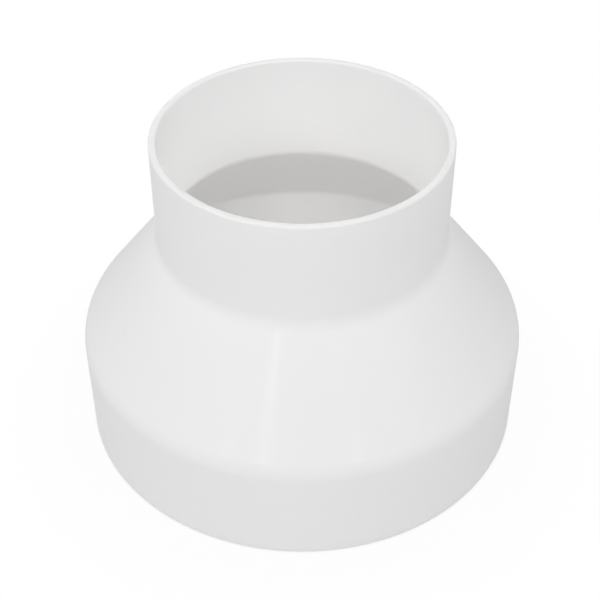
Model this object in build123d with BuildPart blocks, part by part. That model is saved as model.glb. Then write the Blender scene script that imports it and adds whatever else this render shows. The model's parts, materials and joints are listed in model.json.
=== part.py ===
from build123d import *
import os
from math import atan2, tan

# Concentric duct reducer, moulded in one piece of plastic with an even wall.
# It stands on the mouth of the wide socket. The origin is the centre of that mouth,
# and +Z runs along the duct towards the narrow spigot. All sizes are in millimetres.

# Ducts that the two ends fit, and the slip on diameter that lets them go together
large_duct_diameter = 150.0
small_duct_diameter = 100.0
socket_slip = 1.0
spigot_slip = 1.0

# Thickness of the moulding
wall = 2.5

# Lengths along the axis, from corner to corner of the outside
socket_length = 38.0
cone_length = 38.0
spigot_length = 38.0

# Bends between the straight stretches, on the outside and on the inside
shoulder_radius = 10.5
neck_radius = 8.5
socket_shoulder_radius = 5.0
bore_neck_radius = 5.0

# Rounding of the edges at the two open ends
rim_edge_radius = 0.8
mouth_edge_radius = 0.5

# The duct slides into the socket and over the spigot
socket_inner_radius = (large_duct_diameter + socket_slip) / 2
socket_outer_radius = socket_inner_radius + wall
spigot_outer_radius = (small_duct_diameter - spigot_slip) / 2
spigot_inner_radius = spigot_outer_radius - wall

# Heights of the corners of the outside
shoulder_height = socket_length
neck_height = shoulder_height + cone_length
rim_height = neck_height + spigot_length

# The inside stays one wall away from the outside, so its corners sit a little lower
cone_angle = atan2(socket_outer_radius - spigot_outer_radius, cone_length)
corner_drop = wall * tan(cone_angle / 2)

# Two rounded edges share the thickness of each open end and leave a flat between them
largest_edge_radius = 0.45 * wall
rim_edge = min(rim_edge_radius, largest_edge_radius)
mouth_edge = min(mouth_edge_radius, largest_edge_radius)

os.makedirs("parts", exist_ok=True)

# Reducer body: the wall's section, drawn in the XZ plane and turned about the duct's axis
with BuildPart() as reducer_body:
    with BuildSketch(Plane.XZ) as wall_section:
        with BuildLine() as wall_outline:
            outside = FilletPolyline(
                (socket_outer_radius, 0),
                (socket_outer_radius, shoulder_height),
                (spigot_outer_radius, neck_height),
                (spigot_outer_radius, rim_height),
                radius=[shoulder_radius, neck_radius],
            )
            inside = FilletPolyline(
                (socket_inner_radius, 0),
                (socket_inner_radius, shoulder_height - corner_drop),
                (spigot_inner_radius, neck_height - corner_drop),
                (spigot_inner_radius, rim_height),
                radius=[socket_shoulder_radius, bore_neck_radius],
            )
            mouth = Line(outside @ 0, inside @ 0)
            rim = Line(outside @ 1, inside @ 1)
        make_face()
    revolve(axis=Axis.Z)

    # Soften the rim that the small duct slides over and the mouth that the part stands on
    fillet(reducer_body.edges().group_by(Axis.Z)[-1], radius=rim_edge)
    fillet(reducer_body.edges().group_by(Axis.Z)[0], radius=mouth_edge)

reducer_body.part.label = "reducer_body"
export_step(reducer_body.part, "parts/reducer_body.step")
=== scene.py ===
import json
import math

import bpy
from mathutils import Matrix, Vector


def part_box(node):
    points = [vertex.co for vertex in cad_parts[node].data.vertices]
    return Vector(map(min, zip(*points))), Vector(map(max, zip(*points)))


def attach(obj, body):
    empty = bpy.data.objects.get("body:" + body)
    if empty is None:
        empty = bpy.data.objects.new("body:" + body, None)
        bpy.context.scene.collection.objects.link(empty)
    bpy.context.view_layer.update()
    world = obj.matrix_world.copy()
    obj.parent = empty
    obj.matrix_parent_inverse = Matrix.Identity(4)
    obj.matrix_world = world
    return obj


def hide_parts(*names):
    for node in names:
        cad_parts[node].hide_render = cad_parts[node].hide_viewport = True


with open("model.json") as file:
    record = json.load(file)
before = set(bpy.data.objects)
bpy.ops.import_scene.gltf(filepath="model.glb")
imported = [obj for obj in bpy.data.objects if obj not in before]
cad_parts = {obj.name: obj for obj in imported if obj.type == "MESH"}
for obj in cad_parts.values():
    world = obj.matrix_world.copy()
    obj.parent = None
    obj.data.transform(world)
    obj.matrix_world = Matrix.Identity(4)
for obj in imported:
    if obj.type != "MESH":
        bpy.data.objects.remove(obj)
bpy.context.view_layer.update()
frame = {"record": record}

# White duct reducer: one turned plastic wall, on a white floor in soft studio light.
# Lengths are in metres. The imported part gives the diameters, the wall and the height.
# The lengths, bends and roundings that its record doesn't state are written here again.

NODE = "reducer_body"
IMAGE_PIXELS = 600

mounts = {mount["name"]: mount for mount in frame["record"]["mounts"]}
high_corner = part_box(NODE)[1]

SPIGOT_RADIUS = mounts["spigot"]["dims"]["r_mm"] / 1000
SOCKET_RADIUS = high_corner.x
WALL = SOCKET_RADIUS - mounts["socket"]["dims"]["r_mm"] / 1000
HEIGHT = high_corner.z

SOCKET_LENGTH = 0.038
CONE_LENGTH = 0.038
SPIGOT_LENGTH = HEIGHT - SOCKET_LENGTH - CONE_LENGTH

# Bends of the outside, bends of the inside, and the rounded edges of the two open ends
SHOULDER_BEND = 0.0105
NECK_BEND = 0.0085
SOCKET_BEND = 0.005
BORE_BEND = 0.005
RIM_EDGE = 0.0008
MOUTH_EDGE = 0.0005

# Mesh of the turned wall
RING_SPACING = 0.002
SEGMENTS = 288
BEND_STEPS = 14
EDGE_STEPS = 7


# Small helpers for node trees
def add_node(tree, kind, **settings):
    """Adds a node and sets its own settings."""
    made = tree.nodes.new(kind)
    for name, value in settings.items():
        setattr(made, name, value)
    return made


def feed(tree, socket, value):
    """Links an output socket into an input socket, or sets a plain value on it."""
    if isinstance(value, bpy.types.NodeSocket):
        tree.links.new(value, socket)
    else:
        socket.default_value = value


def math_step(tree, operation, first, second=None):
    """One Math node; returns its output socket."""
    made = add_node(tree, "ShaderNodeMath", operation=operation)
    feed(tree, made.inputs[0], first)
    if second is not None:
        feed(tree, made.inputs[1], second)
    return made.outputs[0]


def ramp(tree, value, start_end, low_high):
    """A smooth step from one level to another."""
    step = add_node(tree, "ShaderNodeMapRange", interpolation_type="SMOOTHSTEP")
    feed(tree, step.inputs["Value"], value)
    step.inputs["From Min"].default_value, step.inputs["From Max"].default_value = start_end
    step.inputs["To Min"].default_value, step.inputs["To Max"].default_value = low_high
    return step.outputs["Result"]


# Turned wall, a geometry node tree that rounds a section and sweeps it round the duct's axis
WALL_SIZES = {
    "Spigot Radius": SPIGOT_RADIUS,
    "Socket Radius": SOCKET_RADIUS,
    "Wall": WALL,
    "Socket Length": SOCKET_LENGTH,
    "Cone Length": CONE_LENGTH,
    "Spigot Length": SPIGOT_LENGTH,
    "Shoulder Bend": SHOULDER_BEND,
    "Neck Bend": NECK_BEND,
    "Socket Bend": SOCKET_BEND,
    "Bore Bend": BORE_BEND,
    "Rim Edge": RIM_EDGE,
    "Mouth Edge": MOUTH_EDGE,
    "Ring Spacing": RING_SPACING,
}
WALL_COUNTS = {"Segments": SEGMENTS, "Bend Steps": BEND_STEPS, "Edge Steps": EDGE_STEPS}


def by_index(tree, data_type, values):
    """An Index Switch that gives each corner of the section its own value."""
    switch = add_node(tree, "GeometryNodeIndexSwitch", data_type=data_type)
    while len(switch.index_switch_items) < len(values):
        switch.index_switch_items.new()
    feed(tree, switch.inputs[0], add_node(tree, "GeometryNodeInputIndex").outputs[0])
    for number, value in enumerate(values):
        feed(tree, switch.inputs[number + 1], value)
    return switch.outputs[0]


def section_corners(tree, size):
    """The eight corners of the wall's section, up the outside and down the inside."""
    bore_radius = math_step(tree, "SUBTRACT", size["Spigot Radius"], size["Wall"])
    socket_bore = math_step(tree, "SUBTRACT", size["Socket Radius"], size["Wall"])
    neck_height = math_step(tree, "ADD", size["Socket Length"], size["Cone Length"])
    rim_height = math_step(tree, "ADD", neck_height, size["Spigot Length"])

    # The inside keeps one wall's distance, so its corners sit lower than the outer ones
    step = math_step(tree, "SUBTRACT", size["Socket Radius"], size["Spigot Radius"])
    cone_angle = math_step(tree, "ARCTAN2", step, size["Cone Length"])
    half_bend = math_step(tree, "TANGENT", math_step(tree, "MULTIPLY", cone_angle, 0.5))
    drop = math_step(tree, "MULTIPLY", size["Wall"], half_bend)

    places = [
        (size["Socket Radius"], 0.0),
        (size["Socket Radius"], size["Socket Length"]),
        (size["Spigot Radius"], neck_height),
        (size["Spigot Radius"], rim_height),
        (bore_radius, rim_height),
        (bore_radius, math_step(tree, "SUBTRACT", neck_height, drop)),
        (socket_bore, math_step(tree, "SUBTRACT", size["Socket Length"], drop)),
        (socket_bore, 0.0),
    ]
    corners = []
    for radius, height in places:
        corner = add_node(tree, "ShaderNodeCombineXYZ")
        feed(tree, corner.inputs["X"], radius)
        feed(tree, corner.inputs["Y"], height)
        corners.append(corner.outputs[0])
    return corners


def sharp_section(tree, size):
    """The closed outline of the wall, with sharp corners."""
    corners = section_corners(tree, size)
    line = add_node(tree, "GeometryNodeMeshLine")
    line.inputs["Count"].default_value = len(corners)
    outline = add_node(tree, "GeometryNodeMeshToCurve")
    feed(tree, outline.inputs["Mesh"], line.outputs[0])
    closed = add_node(tree, "GeometryNodeSetSplineCyclic")
    closed.inputs["Cyclic"].default_value = True
    feed(tree, closed.inputs[0], outline.outputs[0])
    placed = add_node(tree, "GeometryNodeSetPosition")
    feed(tree, placed.inputs["Geometry"], closed.outputs[0])
    feed(tree, placed.inputs["Position"], by_index(tree, "VECTOR", corners))
    return placed.outputs[0]


def rounded_section(tree, size):
    """The outline of the wall with its corners rounded, in the order of the corners."""
    edge, bend = size["Edge Steps"], size["Bend Steps"]
    rounding = ["Mouth Edge", "Shoulder Bend", "Neck Bend", "Rim Edge"]
    rounding += ["Rim Edge", "Bore Bend", "Socket Bend", "Mouth Edge"]
    rounded = add_node(tree, "GeometryNodeFilletCurve", mode="POLY")
    feed(tree, rounded.inputs["Curve"], sharp_section(tree, size))
    feed(tree, rounded.inputs["Radius"], by_index(tree, "FLOAT", [size[name] for name in rounding]))
    feed(tree, rounded.inputs["Count"], by_index(tree, "INT", [edge, bend, bend, edge] * 2))
    return rounded.outputs[0]


def ringed_section(tree, size):
    """The rounded outline with points along its straight stretches, by each one's length."""
    section = rounded_section(tree, size)
    total = add_node(tree, "GeometryNodeAttributeDomainSize", component="CURVE")
    feed(tree, total.inputs[0], section)
    index = add_node(tree, "GeometryNodeInputIndex").outputs[0]
    following = math_step(tree, "ADD", index, 1.0)
    following = math_step(tree, "MODULO", following, total.outputs["Point Count"])
    place = add_node(tree, "GeometryNodeInputPosition").outputs[0]
    next_place = add_node(tree, "GeometryNodeFieldAtIndex", data_type="FLOAT_VECTOR")
    feed(tree, next_place.inputs["Value"], place)
    feed(tree, next_place.inputs["Index"], following)
    stretch = add_node(tree, "ShaderNodeVectorMath", operation="DISTANCE")
    feed(tree, stretch.inputs[0], place)
    feed(tree, stretch.inputs[1], next_place.outputs[0])
    cuts = math_step(tree, "DIVIDE", stretch.outputs["Value"], size["Ring Spacing"])
    ringed = add_node(tree, "GeometryNodeSubdivideCurve")
    feed(tree, ringed.inputs["Curve"], section)
    feed(tree, ringed.inputs["Cuts"], math_step(tree, "FLOOR", cuts))
    return ringed.outputs[0]


def hung_on_path(tree, section, path_radius):
    """The section by its distance from the path that it is swept along, the right way up."""
    place = add_node(tree, "ShaderNodeSeparateXYZ")
    feed(tree, place.inputs[0], add_node(tree, "GeometryNodeInputPosition").outputs[0])
    moved = add_node(tree, "ShaderNodeCombineXYZ")
    feed(tree, moved.inputs["X"], math_step(tree, "SUBTRACT", place.outputs["X"], path_radius))
    feed(tree, moved.inputs["Y"], math_step(tree, "MULTIPLY", place.outputs["Y"], -1.0))
    hung = add_node(tree, "GeometryNodeSetPosition")
    feed(tree, hung.inputs["Geometry"], section)
    feed(tree, hung.inputs["Position"], moved.outputs[0])
    return hung.outputs[0]


def turned_wall_tree():
    """The tree that turns the section about Z."""
    tree = bpy.data.node_groups.new("turned wall", "GeometryNodeTree")
    tree.interface.new_socket("Geometry", in_out="OUTPUT", socket_type="NodeSocketGeometry")
    for name in WALL_SIZES:
        tree.interface.new_socket(name, in_out="INPUT", socket_type="NodeSocketFloat")
    for name in WALL_COUNTS:
        tree.interface.new_socket(name, in_out="INPUT", socket_type="NodeSocketInt")
    tree.interface.new_socket("Plastic", in_out="INPUT", socket_type="NodeSocketMaterial")
    given = add_node(tree, "NodeGroupInput").outputs

    path = add_node(tree, "GeometryNodeCurvePrimitiveCircle")
    feed(tree, path.inputs["Resolution"], given["Segments"])
    feed(tree, path.inputs["Radius"], given["Socket Radius"])
    section = hung_on_path(tree, ringed_section(tree, given), given["Socket Radius"])
    swept = add_node(tree, "GeometryNodeCurveToMesh")
    feed(tree, swept.inputs["Curve"], path.outputs["Curve"])
    feed(tree, swept.inputs["Profile Curve"], section)
    outward = add_node(tree, "GeometryNodeFlipFaces")
    feed(tree, outward.inputs["Mesh"], swept.outputs[0])
    smooth = add_node(tree, "GeometryNodeSetShadeSmooth")
    feed(tree, smooth.inputs["Geometry"], outward.outputs[0])
    whole = add_node(tree, "GeometryNodeRealizeInstances")
    feed(tree, whole.inputs["Geometry"], smooth.outputs[0])
    finished = add_node(tree, "GeometryNodeSetMaterial")
    feed(tree, finished.inputs["Geometry"], whole.outputs[0])
    feed(tree, finished.inputs["Material"], given["Plastic"])
    feed(tree, add_node(tree, "NodeGroupOutput").inputs[0], finished.outputs[0])
    return tree


def turned_wall(plastic):
    """The reducer's wall as a plain mesh, made by the tree."""
    tree = turned_wall_tree()
    values = {**WALL_SIZES, **WALL_COUNTS, "Plastic": plastic}
    seed = bpy.data.objects.new("wall_seed", bpy.data.meshes.new("wall_seed"))
    bpy.context.scene.collection.objects.link(seed)
    modifier = seed.modifiers.new("turned wall", "NODES")
    modifier.node_group = tree
    for item in tree.interface.items_tree:
        if item.in_out == "INPUT":
            modifier[item.identifier] = values[item.name]
    evaluated = seed.evaluated_get(bpy.context.evaluated_depsgraph_get())
    mesh = bpy.data.meshes.new_from_object(evaluated)
    mesh.name = "reducer_wall"
    bpy.data.objects.remove(seed)
    wall = bpy.data.objects.new("reducer_wall", mesh)
    bpy.context.scene.collection.objects.link(wall)
    return wall


# White plastic: a slightly clouded tone, and the grain, draw lines and waviness of a moulding
PLASTIC_WHITE = (0.936, 0.936, 0.934, 1)
PLASTIC_SHADE = (0.924, 0.923, 0.921, 1)
CLOUD_SIZE = 0.030
GRAIN_SIZE, GRAIN_DEPTH = 0.0007, 0.000004
WAVE_SIZE, WAVE_DEPTH = 0.016, 0.00012
RIPPLE_SIZE, RIPPLE_DEPTH = 0.005, 0.00005
DRAW_LINES_ROUND, DRAW_LINES_ALONG, DRAW_LINE_DEPTH = 40.0, 9.0, 0.00001
FINE_DETAIL, RIPPLE_DETAIL, NO_DETAIL = 2.0, 1.0, 0.0
SATIN_LOW, SATIN_HIGH = 0.46, 0.54

# The gloss is all in a thin coat, which draws the faint lines of light
GLOSS = 0.0
SHEEN_COAT = 0.06
SHEEN_COAT_ROUGHNESS = 0.15
SHEEN_COAT_IOR = 2.0

# A hairline scuff on the cone, by its place round the axis and up it
SCUFF_GREY = (0.86, 0.857, 0.852, 1)
SCUFF_AZIMUTH = math.radians(-64.5)
SCUFF_HEIGHT = 0.0542
SCUFF_LENGTH = 0.0052
SCUFF_WIDTH = 0.0009


def noise(tree, place, size, detail=FINE_DETAIL):
    """A noise pattern whose features are about the given size."""
    made = add_node(tree, "ShaderNodeTexNoise")
    made.inputs["Scale"].default_value = 1 / size
    made.inputs["Detail"].default_value = detail
    feed(tree, made.inputs["Vector"], place)
    return made.outputs[0]


def along_the_draw(tree, place):
    """Coordinates that stretch a pattern along the duct, the way the part leaves its mould."""
    parts = add_node(tree, "ShaderNodeSeparateXYZ")
    feed(tree, parts.inputs[0], place)
    flat = add_node(tree, "ShaderNodeCombineXYZ")
    feed(tree, flat.inputs["X"], parts.outputs["X"])
    feed(tree, flat.inputs["Y"], parts.outputs["Y"])
    outward = add_node(tree, "ShaderNodeVectorMath", operation="NORMALIZE")
    feed(tree, outward.inputs[0], flat.outputs[0])
    spread = add_node(tree, "ShaderNodeVectorMath", operation="SCALE")
    feed(tree, spread.inputs[0], outward.outputs[0])
    spread.inputs["Scale"].default_value = DRAW_LINES_ROUND
    rise = add_node(tree, "ShaderNodeCombineXYZ")
    feed(tree, rise.inputs["Z"], math_step(tree, "MULTIPLY", parts.outputs["Z"], DRAW_LINES_ALONG))
    both = add_node(tree, "ShaderNodeVectorMath", operation="ADD")
    feed(tree, both.inputs[0], spread.outputs[0])
    feed(tree, both.inputs[1], rise.outputs[0])
    return both.outputs[0]


def draw_lines(tree, place):
    """Faint lines that run along the duct. The stretched coordinates already count them."""
    return noise(tree, along_the_draw(tree, place), 1.0)


def scuff_mark(tree, place):
    """A soft mask, 1 on the scuff: a long thin spot that lies along the cone."""
    cone_slope = math.atan2(SOCKET_RADIUS - SPIGOT_RADIUS, CONE_LENGTH)
    radius = SPIGOT_RADIUS + (SOCKET_LENGTH + CONE_LENGTH - SCUFF_HEIGHT) * math.tan(cone_slope)
    middle = (radius * math.sin(SCUFF_AZIMUTH), -radius * math.cos(SCUFF_AZIMUTH), SCUFF_HEIGHT)
    spot = add_node(tree, "ShaderNodeMapping", vector_type="TEXTURE")
    feed(tree, spot.inputs["Vector"], place)
    spot.inputs["Location"].default_value = middle
    spot.inputs["Rotation"].default_value = (-cone_slope, 0, SCUFF_AZIMUTH)
    spot.inputs["Scale"].default_value = (SCUFF_WIDTH / 2, SCUFF_LENGTH / 2, SCUFF_LENGTH / 2)
    reach = add_node(tree, "ShaderNodeVectorMath", operation="LENGTH")
    feed(tree, reach.inputs[0], spot.outputs[0])
    return ramp(tree, reach.outputs["Value"], (0.0, 1.0), (1.0, 0.0))


def blend_colours(tree, share, first, second):
    """Mixes two colours; returns the output socket."""
    mix = add_node(tree, "ShaderNodeMix", data_type="RGBA")
    colour_inputs = [socket for socket in mix.inputs if socket.type == "RGBA"]
    feed(tree, mix.inputs["Factor"], share)
    feed(tree, colour_inputs[0], first)
    feed(tree, colour_inputs[1], second)
    return next(socket for socket in mix.outputs if socket.type == "RGBA")


def raised(tree, height, depth, normal=None):
    """A bump of the given depth, laid over an earlier one."""
    bump = add_node(tree, "ShaderNodeBump")
    bump.inputs["Distance"].default_value = depth
    feed(tree, bump.inputs["Height"], height)
    if normal is not None:
        feed(tree, bump.inputs["Normal"], normal)
    return bump.outputs[0]


def white_plastic():
    """Satin white plastic."""
    material = bpy.data.materials.new("white plastic")
    material.use_nodes = True
    tree = material.node_tree
    shader = tree.nodes["Principled BSDF"]
    place = add_node(tree, "ShaderNodeTexCoord").outputs["Object"]
    lines = draw_lines(tree, place)

    tone = blend_colours(tree, noise(tree, place, CLOUD_SIZE), PLASTIC_WHITE, PLASTIC_SHADE)
    tone = blend_colours(tree, scuff_mark(tree, place), tone, SCUFF_GREY)
    feed(tree, shader.inputs["Base Color"], tone)

    satin = add_node(tree, "ShaderNodeMapRange")
    feed(tree, satin.inputs["Value"], lines)
    satin.inputs["To Min"].default_value = SATIN_LOW
    satin.inputs["To Max"].default_value = SATIN_HIGH
    feed(tree, shader.inputs["Roughness"], satin.outputs["Result"])
    shader.inputs["Specular IOR Level"].default_value = GLOSS
    shader.inputs["Coat Weight"].default_value = SHEEN_COAT
    shader.inputs["Coat Roughness"].default_value = SHEEN_COAT_ROUGHNESS
    shader.inputs["Coat IOR"].default_value = SHEEN_COAT_IOR

    surface = raised(tree, noise(tree, place, WAVE_SIZE, NO_DETAIL), WAVE_DEPTH)
    surface = raised(tree, lines, DRAW_LINE_DEPTH, surface)
    surface = raised(tree, noise(tree, place, GRAIN_SIZE), GRAIN_DEPTH, surface)
    feed(tree, shader.inputs["Normal"], surface)
    ripple = noise(tree, place, RIPPLE_SIZE, RIPPLE_DETAIL)
    feed(tree, shader.inputs["Coat Normal"], raised(tree, ripple, RIPPLE_DEPTH, surface))
    return material


# White floor and room. By distance from the axis the floor goes from nearly white to white, and
# its share of white and its glow drop at the ring that the part stands on.
# The drop in white is painted shade at that ring and inside the socket.
FLOOR_HALF = 3.0
FLOOR_CREAM = (0.670, 0.662, 0.650, 1)
FLOOR_NEAR, FLOOR_FAR = 0.08, 0.125
NEAR_WHITE, FAR_WHITE = 0.965, 1.0
FLOOR_GLOW = 0.185
STANDING_RADIUS = SOCKET_RADIUS - WALL / 2
# Painted shade: the floor's white share drops inside the ring the part stands on and rises again
# just outside it
PAINTED_SHADE_WHITE, PAINTED_SHADE_WIDTH, CONTACT_SHADE = 0.6, 0.0022, 0.006
ROOM_WHITE = (1, 1, 1, 1)
ROOM_LIGHT = 0.408


def seen_as_white(tree):
    """1 for the rays that show the background: the camera's, and those in gloss and glass."""
    ray = add_node(tree, "ShaderNodeLightPath").outputs
    seen = math_step(tree, "MAXIMUM", ray["Is Camera Ray"], ray["Is Glossy Ray"])
    return math_step(tree, "MAXIMUM", seen, ray["Is Transmission Ray"])


def floor_white():
    """White paint that lets the part's soft shadow show close to it, with painted shade where the
    part stands and inside the socket, and fades into the white room.
    """
    material = bpy.data.materials.new("floor white")
    material.use_nodes = True
    tree = material.node_tree
    tree.nodes.clear()
    distance = add_node(tree, "ShaderNodeVectorMath", operation="LENGTH")
    feed(tree, distance.inputs[0], add_node(tree, "ShaderNodeTexCoord").outputs["Object"])
    reach = distance.outputs["Value"]

    # What the camera sees: white, a little less of it near the part so that the real shadow shows,
    # which also paints a faint shade there, and painted shade at the ring the part stands on and
    # inside the socket
    white = ramp(tree, reach, (FLOOR_NEAR, FLOOR_FAR), (NEAR_WHITE, FAR_WHITE))
    painted_shade_span = (STANDING_RADIUS, STANDING_RADIUS + PAINTED_SHADE_WIDTH)
    white = math_step(tree, "MULTIPLY", white, ramp(tree, reach, painted_shade_span, (PAINTED_SHADE_WHITE, 1.0)))
    seen = math_step(tree, "MULTIPLY", seen_as_white(tree), white)

    # What the part gets from the floor: a faint glow, except close to where it stands
    gap = math_step(tree, "ABSOLUTE", math_step(tree, "SUBTRACT", reach, STANDING_RADIUS))
    given_off = ramp(tree, gap, (0.0, CONTACT_SHADE), (0.0, FLOOR_GLOW))

    paint = add_node(tree, "ShaderNodeBsdfDiffuse")
    paint.inputs["Color"].default_value = FLOOR_CREAM
    glow = add_node(tree, "ShaderNodeEmission")
    blend = add_node(tree, "ShaderNodeMixShader")
    feed(tree, blend.inputs[0], math_step(tree, "MAXIMUM", seen, given_off))
    feed(tree, blend.inputs[1], paint.outputs[0])
    feed(tree, blend.inputs[2], glow.outputs[0])
    feed(tree, add_node(tree, "ShaderNodeOutputMaterial").inputs[0], blend.outputs[0])
    return material


def studio_floor():
    """A flat white floor under the part."""
    mesh = bpy.data.meshes.new("floor")
    corners = [(-1, -1), (1, -1), (1, 1), (-1, 1)]
    mesh.from_pydata([(x * FLOOR_HALF, y * FLOOR_HALF, 0) for x, y in corners], [], [(0, 1, 2, 3)])
    mesh.materials.append(floor_white())
    floor = bpy.data.objects.new("floor", mesh)
    bpy.context.scene.collection.objects.link(floor)


def studio_world():
    """A white room to look at, and a little even light from it."""
    world = bpy.data.worlds.new("studio")
    bpy.context.scene.world = world
    world.use_nodes = True
    tree = world.node_tree
    strength = add_node(tree, "ShaderNodeMix", data_type="FLOAT")
    feed(tree, strength.inputs["Factor"], seen_as_white(tree))
    feed(tree, strength.inputs["A"], ROOM_LIGHT)
    feed(tree, strength.inputs["B"], 1.0)
    room = tree.nodes["Background"]
    room.inputs["Color"].default_value = ROOM_WHITE
    feed(tree, room.inputs["Strength"], strength.outputs["Result"])


# Lamps. Azimuths are from the camera's side, and they and the elevations are in degrees.
LAMP_COLOUR = (0.985, 0.986, 0.998)
LAMP_DISTANCE = 2.0

# Softboxes round the part: azimuth, elevation, watts
SOFTBOX_WIDTH, SOFTBOX_HEIGHT = 1.4, 0.7
SOFTBOXES = {
    "front": (0, 49, 8.6),
    "left": (-60, 40, 5.5),
    "right": (60, 28, 3.5),
    "back_left": (-120, 40, 5.0),
    "back_right": (120, 40, 4.5),
}

# Small lamps that draw faint lines and glints on the cone: azimuth, elevation, width, height, watts
SMALL_LAMPS = {
    "strip_left": (-17.4, 28.7, 0.10, 0.19, 0.85),
    "strip_right": (22.0, 29.5, 0.04, 0.10, 0.35),
    "glint_left": (-35.0, 21.3, 0.06, 0.04, 0.35),
    "glint_middle": (-17.4, 21.6, 0.08, 0.04, 1.2),
    "glint_right": (25.0, 21.6, 0.06, 0.04, 0.7),
}

# Beams through the spigot to the inside: azimuth, elevation, watts, colour, then the share of
# the spigot's width that the beam fills, and how far past the middle it is aimed
BEAM_DISTANCE = 0.8
BEAM_SOFT_EDGE = 0.4
BEAM_LAMP_RADIUS = 0.02
BEAM_WARM = (1.0, 0.955, 0.86)
BEAMS = {
    "bore_down": (0, 82, 8.6, BEAM_WARM, 0.88, 0.003),
    "bore_front": (0, 43, 2.6, LAMP_COLOUR, 0.7, -0.008),
    "bore_left": (-80, 36, 1.8, LAMP_COLOUR, 0.88, 0.003),
    "bore_right": (70, 47, 4.0, LAMP_COLOUR, 0.88, 0.003),
}
MOUTH_GLOW_WATTS = 0.00085


def direction(azimuth, elevation):
    """A unit vector from the part towards a lamp."""
    a, e = math.radians(azimuth), math.radians(elevation)
    return Vector((math.sin(a) * math.cos(e), -math.cos(a) * math.cos(e), math.sin(e)))


def hang_lamp(name, data, aim, towards, distance):
    """Hangs a lamp in a direction from the point that it is aimed at."""
    lamp = bpy.data.objects.new(name, data)
    bpy.context.scene.collection.objects.link(lamp)
    lamp.location = aim + towards * distance
    lamp.rotation_euler = towards.to_track_quat("Z", "Y").to_euler()


def flat_lamp(name, azimuth, elevation, width, height, watts):
    """A flat lamp that faces the middle of the part."""
    data = bpy.data.lights.new(name, "AREA")
    data.shape = "RECTANGLE"
    data.size, data.size_y = width, height
    data.energy = watts
    data.color = LAMP_COLOUR
    hang_lamp(name, data, Vector((0, 0, HEIGHT / 2)), direction(azimuth, elevation), LAMP_DISTANCE)


def bore_beam(name, azimuth, elevation, watts, colour, filled, past_middle):
    """A narrow beam that goes through the spigot to the inside, mostly clear of its rim."""
    towards = direction(azimuth, elevation)
    beam_radius = filled * (SPIGOT_RADIUS - WALL) * towards.z
    data = bpy.data.lights.new(name, "SPOT")
    data.energy = watts
    data.color = colour
    data.spot_size = 2 * math.atan2(beam_radius, BEAM_DISTANCE)
    data.spot_blend = BEAM_SOFT_EDGE
    data.shadow_soft_size = BEAM_LAMP_RADIUS
    aim = Vector((-towards.x * past_middle, -towards.y * past_middle, HEIGHT))
    hang_lamp(name, data, aim, towards, BEAM_DISTANCE)


def mouth_glow():
    """A faint disc of light that fills the spigot's mouth and faces down, so the rim gets none."""
    data = bpy.data.lights.new("mouth_glow", "AREA")
    data.shape = "DISK"
    data.size = 2 * (SPIGOT_RADIUS - WALL - RIM_EDGE)
    data.energy = MOUTH_GLOW_WATTS
    data.color = LAMP_COLOUR
    hang_lamp("mouth_glow", data, Vector((0, 0, HEIGHT)), Vector((0, 0, 1)), -RIM_EDGE)


def studio_lamps():
    """All the lamps."""
    for name, (azimuth, elevation, watts) in SOFTBOXES.items():
        flat_lamp(name, azimuth, elevation, SOFTBOX_WIDTH, SOFTBOX_HEIGHT, watts)
    for name, beam in BEAMS.items():
        bore_beam(name, *beam)
    mouth_glow()
    for name, lamp in SMALL_LAMPS.items():
        flat_lamp(name, *lamp)


# Camera, from the fit of the part's outline
CAMERA_ELEVATION = math.radians(40.624)
CAMERA_DISTANCE = 0.44487
CAMERA_TARGET_HEIGHT = 0.043838
CAMERA_NEAR_CLIP = 0.01
FOCAL_PIXELS = 1242.3
AXIS_COLUMN = 302.15
SENSOR = 36.0


def photo_camera():
    """A camera at the photograph's viewpoint, with the part's axis in the same column."""
    data = bpy.data.cameras.new("camera")
    data.sensor_width = SENSOR
    data.lens = FOCAL_PIXELS / IMAGE_PIXELS * SENSOR
    data.shift_x = (IMAGE_PIXELS / 2 - AXIS_COLUMN) / IMAGE_PIXELS
    data.clip_start = CAMERA_NEAR_CLIP
    camera = bpy.data.objects.new("camera", data)
    bpy.context.scene.collection.objects.link(camera)
    back = Vector((0, -math.cos(CAMERA_ELEVATION), math.sin(CAMERA_ELEVATION)))
    camera.location = Vector((0, 0, CAMERA_TARGET_HEIGHT)) + back * CAMERA_DISTANCE
    camera.rotation_euler = back.to_track_quat("Z", "Y").to_euler()
    bpy.context.scene.camera = camera


# Light bounces many times inside a white duct
DIFFUSE_BOUNCES, ALL_BOUNCES = 12, 16

wall = turned_wall(white_plastic())
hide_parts(NODE)
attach(wall, "root")

studio_floor()
studio_world()
studio_lamps()
photo_camera()
bpy.context.scene.view_settings.view_transform = "Standard"
bpy.context.scene.cycles.diffuse_bounces = DIFFUSE_BOUNCES
bpy.context.scene.cycles.max_bounces = ALL_BOUNCES
